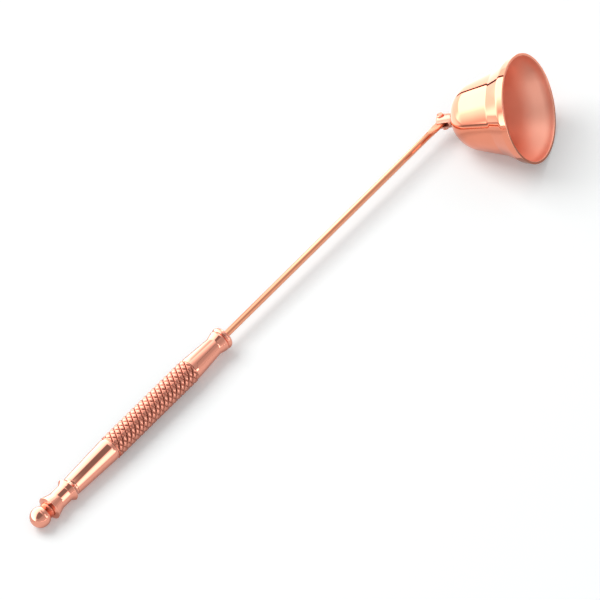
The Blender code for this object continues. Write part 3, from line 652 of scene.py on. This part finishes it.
# Painted shade: dark in the grooves, a little on the crests, none on the plain lands.
soil = np.concatenate([clean, CREST_SHADING + GROOVE_SHADING * struck**0.5, clean])
rings = np.concatenate([lands[0], lattice, lands[1][::-1]])
grip_mesh = ringed_mesh("grip", rings, closed=True, grooved=True, soil=soil)
grip_plating = plating("grip_plating", ROSE, roughness=0.20)
fitted("grip", grip_mesh, handle_axes, grip_plating, "handle", "knurled_grip")


# The tail barrel: a long taper with a slight swell behind the grip. Polished plating. Its spigot is in the
# grip, and the finial's is in its end.
TAIL_START, TAIL_END, TAIL_SPIGOT_END, TAIL_SOCKET_FROM = 184.3, 205.3, 179.5, 202.6
TAIL_FRONT_RADIUS, TAIL_END_RADIUS = 4.26, 3.69
TAIL_RADIUS, TAIL_SWELL_AT, TAIL_SWELL = 4.46, 185.4, 14

section = filleted(
    [
        (ROD_BORE, TAIL_SOCKET_FROM, 0),
        (SOCKET, TAIL_SOCKET_FROM, 0),
        (SOCKET, TAIL_END, 0),
        (TAIL_END_RADIUS, TAIL_END, TURNED_EDGE),
        (TAIL_RADIUS, TAIL_SWELL_AT, TAIL_SWELL),
        (TAIL_FRONT_RADIUS, TAIL_START, TURNED_EDGE),
        (SPIGOT, TAIL_START, 0),
        (SPIGOT, TAIL_SPIGOT_END, 0),
        (ROD_BORE, TAIL_SPIGOT_END, 0),
    ],
    steps=12,
)[::-1]
tail_mesh = turned_mesh("tail_barrel", supported(section, closed=True, near=0.15))
tail_plating = plating("tail_plating", ROSE, roughness=0.05)
fitted("tail", tail_mesh, handle_axes, tail_plating, "handle", "tail_barrel")


# The finial: a crested ring, a waist and a trumpet flare. Polished plating. It is turned in one piece and
# held between the tail barrel and the ball.
FINIAL_START, FINIAL_END, FINIAL_SPIGOT_END, FINIAL_SOCKET_FROM = 205.4, 218.1, 203.3, 215.6
FOOT_RADIUS, FOOT_EDGE, FOOT_END, FOOT_FILLET = 3.7, 0.05, 206.1, 0.8
RING_RADIUS, RING_AT, RING_FILLET = 4.56, 207.4, 0.2
WAIST_RADIUS, WAIST_FROM, WAIST_TO, WAIST_START, WAIST_SWEEP = 3.47, 208.8, 213.6, 1.6, 4.5
FLARE_RADIUS, FLARE_AT, FLARE_FILLET, FLARE_END_RADIUS = 4.66, 217.5, 0.12, 3.5

section = filleted(
    [
        (ROD_BORE, FINIAL_SOCKET_FROM, 0),
        (SOCKET, FINIAL_SOCKET_FROM, 0),
        (SOCKET, FINIAL_END, 0),
        (FLARE_END_RADIUS, FINIAL_END, TURNED_EDGE),
        (FLARE_RADIUS, FLARE_AT, FLARE_FILLET),
        (WAIST_RADIUS, WAIST_TO, WAIST_SWEEP),
        (WAIST_RADIUS, WAIST_FROM, WAIST_START),
        (RING_RADIUS, RING_AT, RING_FILLET),
        (FOOT_RADIUS, FOOT_END, FOOT_FILLET),
        (FOOT_RADIUS, FINIAL_START, FOOT_EDGE),
        (SPIGOT, FINIAL_START, 0),
        (SPIGOT, FINIAL_SPIGOT_END, 0),
        (ROD_BORE, FINIAL_SPIGOT_END, 0),
    ],
    steps=12,
)[::-1]
finial_mesh = turned_mesh("finial", supported(section, closed=True, near=0.15))
finial_plating = plating("finial_plating", ROSE, roughness=0.05)
fitted("finial", finial_mesh, handle_axes, finial_plating, "handle", "finial_spindle")


# The ball: the end nut, turned with a short foot and a threaded blind bore. Polished plating. It screws on
# to the rod's end and holds the handle together.
BALL_CENTRE, BALL_RADIUS, BALL_FOOT = 222.4, 3.87, 2.97
BALL_START, BALL_SPIGOT_END, BALL_BORE_END = 218.2, 215.9, 223.2

foot = math.acos(BALL_FOOT / BALL_RADIUS)
section = np.concatenate(
    [
        arc((0, BALL_CENTRE), BALL_RADIUS, math.pi / 2, -foot, steps=60),
        [(BALL_FOOT, BALL_START), (SPIGOT, BALL_START), (SPIGOT, BALL_SPIGOT_END)],
        [(ROD_BORE, BALL_SPIGOT_END), (ROD_BORE, BALL_BORE_END), (0, BALL_BORE_END)],
    ]
)
# The first point is a pole, and lies exactly on the axis.
section[0, 0] = 0
ball_mesh = turned_mesh("ball", section, closed=False)
ball_plating = plating("ball_plating", ROSE, roughness=0.06)
fitted("ball", ball_mesh, handle_axes, ball_plating, "handle", "finial_ball")


# The studio: a white table under a soft key lamp, and a light tent for the metal to reflect. The tent's lit
# back wall stands close behind the snuffer and ends beside the bell, and its roof darkens towards the front.
TENT_FROM, TENT_TO, GAP_STEP, GAP_TO, TENT_STEPS = -0.45, 0.111, 0.0005, 0.116, 180
STRIP_FROM, STRIP_HEIGHT, WALL_Y, WALL_HEIGHT = 0.0235, 0.0003, 0.060, 0.10
TENT_FRONT, ROOF_RISE, SECTION_STEPS = -0.28, 0.10, 40
ROOF_GLOW, WALL_FADE, WALL_RISE, FRONT_FADE, FRONT_RISE = 0.60, (122, 28), 2.7, (140, 175), 0.25
WALL_GLOW, HEAD_GLOW, NECK_GLOW, FOOT_DIMS, FLARE_DIMS = 0.9, 2.2, 1.0, 0.25, 0.50
STRIP_GLOW, STRIP_RISE, FOLD_DIMS, BACK_GLOW = 0.9, 1.1, 0.65, 1.2
FOLD_X, FOLD_Y, FOLD_SLANT, FOLD_WIDTH, FOLD_SPREAD = 0.084, 0.0272, 0.305, 0.0020, 0.08
BAND_X, BAND_ANGLE, BAND_SLANT, BAND_GLOW, CARD_GLOW = -0.038, 84, 0.00085, 0.30, 2.8
HANDLE_Y, HANDLE_Z, GAP_GLOW, DIM = 0.0177, 0.005, 0.12, 0.16
WHITE = (1, 1, 1, 1)


def rise(value, low, high):
    """0 below low and 1 above high, with a smooth step 3 t^2 - 2 t^3 between. High may be the lower one."""
    t = np.clip((value - low) / (high - low), 0, 1)
    return t * t * (3 - 2 * t)


def first_hand(tree, strength, dim):
    """The strength as the camera sees it in the metal, and only dim where the metal lights the table."""
    second = node(tree, "LightPath").outputs["Diffuse Depth"]
    second = node(tree, "Math", {0: second, 1: 1.0}, operation="MINIMUM").outputs["Value"]
    return node(tree, "Mix", {0: second, 2: strength, 3: dim}, data_type="FLOAT").outputs[0]


def tent_section(steps):
    """(y, z) along the tent: a strip on the table, the wall, a half ellipse over the top, and the front."""
    strip = np.column_stack([np.linspace(STRIP_FROM, WALL_Y, steps), np.full(steps, STRIP_HEIGHT)])
    wall = np.column_stack([np.full(steps, WALL_Y), np.linspace(STRIP_HEIGHT, WALL_HEIGHT, steps)])
    a = np.linspace(0, math.pi, 4 * steps)
    middle, half = (WALL_Y + TENT_FRONT) / 2, (WALL_Y - TENT_FRONT) / 2
    over = np.column_stack([middle + half * np.cos(a), WALL_HEIGHT + ROOF_RISE * np.sin(a)])
    front = np.column_stack([np.full(steps, TENT_FRONT), np.linspace(WALL_HEIGHT, 0.0, steps)])
    return np.concatenate([strip, wall[1:], over[1:], front[1:]])


def tent_glow(x, y, z):
    """The tent's light at a point, from the angle at which the handle sees it and from the place along it.

    The roof brightens towards the wall, and a little down the front. Towards the head the wall has a light
    of its own, which rises along it, and is dimmer at its foot and where the bell's flare sees it. Towards
    the tail it is brighter low down. The strip on the table is brightest beside the bell. A dark line like a
    fold crosses it aslant, and widens away from the bell. The roof has a dark band across it, and is as dark
    at the tail's end. A lit card hangs at the front, and a dark edge closes the tent beside the bell.
    The two numbers in each rise are the stretch, in metres or degrees, over which a light comes in.
    """
    angle = np.degrees(np.arctan2(z - HANDLE_Z, y - HANDLE_Y))
    glow = ROOF_GLOW + WALL_RISE * rise(angle, *WALL_FADE) + FRONT_RISE * rise(angle, *FRONT_FADE)
    headward = rise(x, -0.02, 0.01)
    wall = WALL_GLOW + HEAD_GLOW * rise(x, -0.005, 0.065) + NECK_GLOW * rise(x, 0.045, 0.065)
    wall = wall * (1 - FLARE_DIMS * rise(x, 0.050, 0.075) * rise(z, 0.027, 0.022))
    wall = wall * (1 - FOOT_DIMS + FOOT_DIMS * rise(z, 0, 0.006))
    glow = glow + headward * rise(z, 0.12, 0.06) * (wall - glow)
    glow = glow + (1 - headward) * rise(angle, 40, 5) * BACK_GLOW
    away = FOLD_X - x
    fold = np.abs(y - FOLD_Y - FOLD_SLANT * away) / (FOLD_WIDTH + FOLD_SPREAD * np.clip(away, 0, 1))
    strip = (STRIP_GLOW + STRIP_RISE * rise(x, 0.03, 0.08)) * (1 - FOLD_DIMS * rise(fold, 1.0, 0.4))
    glow = np.where((z < 2 * STRIP_HEIGHT) & (y > 0), strip, glow)
    middle = BAND_X + BAND_SLANT * (angle - BAND_ANGLE)
    band = np.maximum(rise(np.abs(x - middle), 0.018, 0.013), rise(x, -0.09, -0.11))
    band = band * rise(angle, 66, 80) * rise(angle, 134, 122)
    card = rise(x, -0.012, 0.006) * rise(x, 0.062, 0.044) * rise(angle, 124, 146) * rise(angle, 196, 164)
    glow = glow + band * (BAND_GLOW - glow)
    glow = glow + card * (CARD_GLOW - glow)
    return np.where((x > TENT_TO + GAP_STEP / 2) & (z > 2 * STRIP_HEIGHT), GAP_GLOW, glow)


tent_light = bpy.data.materials.new("tent_light")
tent_light.use_nodes = True
tree = tent_light.node_tree
glow = node(tree, "Attribute", attribute_name="glow").outputs["Fac"]
lit = node(tree, "Emission", {"Strength": first_hand(tree, glow, DIM)}).outputs["Emission"]
tree.links.new(lit, tree.nodes["Material Output"].inputs["Surface"])


def lit_cloth(name, points, faces, glow):
    """A surface that shines as strongly as glow at each point, and that is only seen in the metal."""
    mesh = bpy.data.meshes.new(name)
    mesh.from_pydata(points, [], faces)
    mesh.attributes.new("glow", "FLOAT", "POINT").data.foreach_set("value", glow)
    mesh.materials.append(tent_light)
    made = bpy.data.objects.new(name, mesh)
    bpy.context.scene.collection.objects.link(made)
    for rays in ("camera", "diffuse", "transmission", "shadow", "volume_scatter"):
        setattr(made, "visible_" + rays, False)
    return made


section = tent_section(SECTION_STEPS)
along = np.concatenate([np.linspace(TENT_FROM, TENT_TO, TENT_STEPS), [TENT_TO + GAP_STEP, GAP_TO]])
x, y = np.meshgrid(along, section[:, 0], indexing="ij")
z = np.meshgrid(along, section[:, 1], indexing="ij")[1]
points = np.stack([x, y, z], axis=-1).reshape(-1, 3)
faces = grid_faces(*x.shape, columns_close=False)
tent = lit_cloth("tent", points.tolist(), faces.tolist(), tent_glow(x, y, z).ravel())

# A dim cloth on the table before the bell's mouth keeps the white of the table out of the metal there.
(x0, y0), (x1, y1), FLAG_GLOW = (0.092, -0.25), (0.15, -0.013), 0.36
points = [(x0, y0, STRIP_HEIGHT), (x1, y0, STRIP_HEIGHT), (x1, y1, STRIP_HEIGHT), (x0, y1, STRIP_HEIGHT)]
flag = lit_cloth("flag", points, [(0, 1, 2, 3)], [FLAG_GLOW] * len(points))

# The key lamp is large and stands behind the snuffer. It lights the table and doesn't show in the metal.
KEY_SIZE, KEY_WATTS, KEY_AT = 1.7, 34.0, (-0.30, 1.30, 1.90)
key_light = bpy.data.lights.new("key", "AREA")
key_light.size, key_light.energy = KEY_SIZE, KEY_WATTS
key = bpy.data.objects.new("key", key_light)
bpy.context.scene.collection.objects.link(key)
key.location = KEY_AT
key.rotation_euler = Vector(KEY_AT).to_track_quat("Z", "Y").to_euler()
key.visible_camera = key.visible_glossy = False

# The room is AMBIENT for the table and white to the camera. In the metal it shines like the tent, so that
# the tent's ends don't show, but rises less towards the wall, and glows overhead except on the bell's side.
AMBIENT, ROOM_RISE, OVERHEAD = 0.48, 1.2, 0.9
OVERHEAD_FADES = ("X", 0.42, 0.20), ("Z", 0.70, 0.92)


def corner(tree, place, fades):
    """How far a place is inside a corner: the product of two fades from 0 to 1, each along one axis."""
    shares = [
        node(tree, "MapRange", {"Value": place[way], "From Min": low, "From Max": high}).outputs["Result"]
        for way, low, high in fades
    ]
    return node(tree, "Math", {0: shares[0], 1: shares[1]}, operation="MULTIPLY").outputs["Value"]


bpy.context.scene.view_settings.view_transform = "Standard"
world = bpy.data.worlds.new("room")
bpy.context.scene.world = world
world.use_nodes = True
tree = world.node_tree
ambient = tree.nodes["Background"]
ambient.inputs["Color"].default_value = WHITE
ambient.inputs["Strength"].default_value = AMBIENT
split = node(tree, "SeparateXYZ", {0: node(tree, "TexCoord").outputs["Generated"]}).outputs
tilt = node(tree, "Math", {0: split["Z"], 1: split["Y"]}, operation="ARCTAN2").outputs["Value"]
falls = [
    node(
        tree,
        "MapRange",
        {"Value": tilt, "From Min": math.radians(low), "From Max": math.radians(high), "To Max": strength},
        interpolation_type="SMOOTHSTEP",
    ).outputs["Result"]
    for (low, high), strength in ((WALL_FADE[::-1], -ROOM_RISE), (FRONT_FADE, FRONT_RISE))
]
shine = plus(tree, plus(tree, ROOF_GLOW + ROOM_RISE, falls[0], 1), falls[1], 1)
shine = plus(tree, shine, corner(tree, split, OVERHEAD_FADES), OVERHEAD)
room = node(tree, "Background", {"Color": WHITE, "Strength": first_hand(tree, shine, DIM)}).outputs[0]
backdrop = node(tree, "Background", {"Color": WHITE, "Strength": 1}).outputs[0]
rays = node(tree, "LightPath").outputs
mirrored = node(tree, "MixShader", {0: rays["Is Glossy Ray"], 1: ambient.outputs[0], 2: room})
seen = node(tree, "MixShader", {0: rays["Is Camera Ray"], 1: mirrored.outputs[0], 2: backdrop})
tree.links.new(seen.outputs[0], tree.nodes["World Output"].inputs["Surface"])

# The table is white paper. It is filled up to white for the camera, so that it keeps its shadows, and a
# little in the metal, most of all beyond the bell.
PAPER, PAPER_ROUGHNESS, CAMERA_FILL, MIRROR_FILL, SUNLIT = (0.88, 0.90, 0.90, 1), 0.9, 0.21, 0.12, 1.3
SUNLIT_FADES = ("X", 0.109, 0.116), ("Y", 0.012, 0.030)
HALF_TABLE = 9
corners = [(x * HALF_TABLE, y * HALF_TABLE, 0) for x, y in ((-1, -1), (1, -1), (1, 1), (-1, 1))]
table_mesh = bpy.data.meshes.new("table")
table_mesh.from_pydata(corners, [], [(0, 1, 2, 3)])
table = bpy.data.objects.new("table", table_mesh)
bpy.context.scene.collection.objects.link(table)
paper = bpy.data.materials.new("table_paper")
paper.use_nodes = True
tree = paper.node_tree
shader = tree.nodes["Principled BSDF"]
shader.inputs["Base Color"].default_value = PAPER
shader.inputs["Roughness"].default_value = PAPER_ROUGHNESS
shader.inputs["Specular IOR Level"].default_value = 0.0
shader.inputs["Emission Color"].default_value = WHITE
rays = node(tree, "LightPath").outputs
mirrors = {0: rays["Is Glossy Ray"], 1: rays["Is Transmission Ray"]}
mirrored = node(tree, "Math", mirrors, operation="MAXIMUM").outputs["Value"]
place = node(tree, "SeparateXYZ", {0: node(tree, "TexCoord").outputs["Object"]}).outputs
share = plus(tree, MIRROR_FILL, corner(tree, place, SUNLIT_FADES), SUNLIT)
fill = node(tree, "Math", {0: mirrored, 1: share}, operation="MULTIPLY").outputs["Value"]
fill = plus(tree, fill, rays["Is Camera Ray"], CAMERA_FILL)
tree.links.new(fill, shader.inputs["Emission Strength"])
table_mesh.materials.append(paper)

# The camera stands 8 m away, as the photograph has almost no perspective, and is aimed beside the snuffer's
# middle, so that no shift is needed.
AZIMUTH, ELEVATION, ROLL = np.radians([43.67, 48.76, -8.56])
DISTANCE, AIM_HEIGHT, FAR_END, SENSOR = 8.0, 0.010, 30, 36.0
PX_PER_MM, AIM_PX, FRAME_PX = 2.8382, (306.12, 306.46), 600
level = Vector((math.cos(AZIMUTH), -math.sin(AZIMUTH), 0))
across = Vector((math.sin(AZIMUTH), math.cos(AZIMUTH), 0))
forward = math.cos(ELEVATION) * across - math.sin(ELEVATION) * Vector((0, 0, 1))
upright = level.cross(forward)
right = math.cos(ROLL) * level + math.sin(ROLL) * upright
up = -math.sin(ROLL) * level + math.cos(ROLL) * upright
off_x, off_y = (aim - FRAME_PX / 2 for aim in AIM_PX)
aim = Vector((0, 0, AIM_HEIGHT)) - (right * off_x - up * off_y) / PX_PER_MM * MM
camera = bpy.data.cameras.new("portrait")
camera.sensor_width = SENSOR
camera.lens = PX_PER_MM * DISTANCE / MM * SENSOR / FRAME_PX
camera.clip_end = FAR_END
camera_object = bpy.data.objects.new("portrait", camera)
bpy.context.scene.collection.objects.link(camera_object)
facing = Matrix((right, up, -forward)).transposed().to_4x4()
camera_object.matrix_world = Matrix.Translation(aim - forward * DISTANCE) @ facing
bpy.context.scene.camera = camera_object
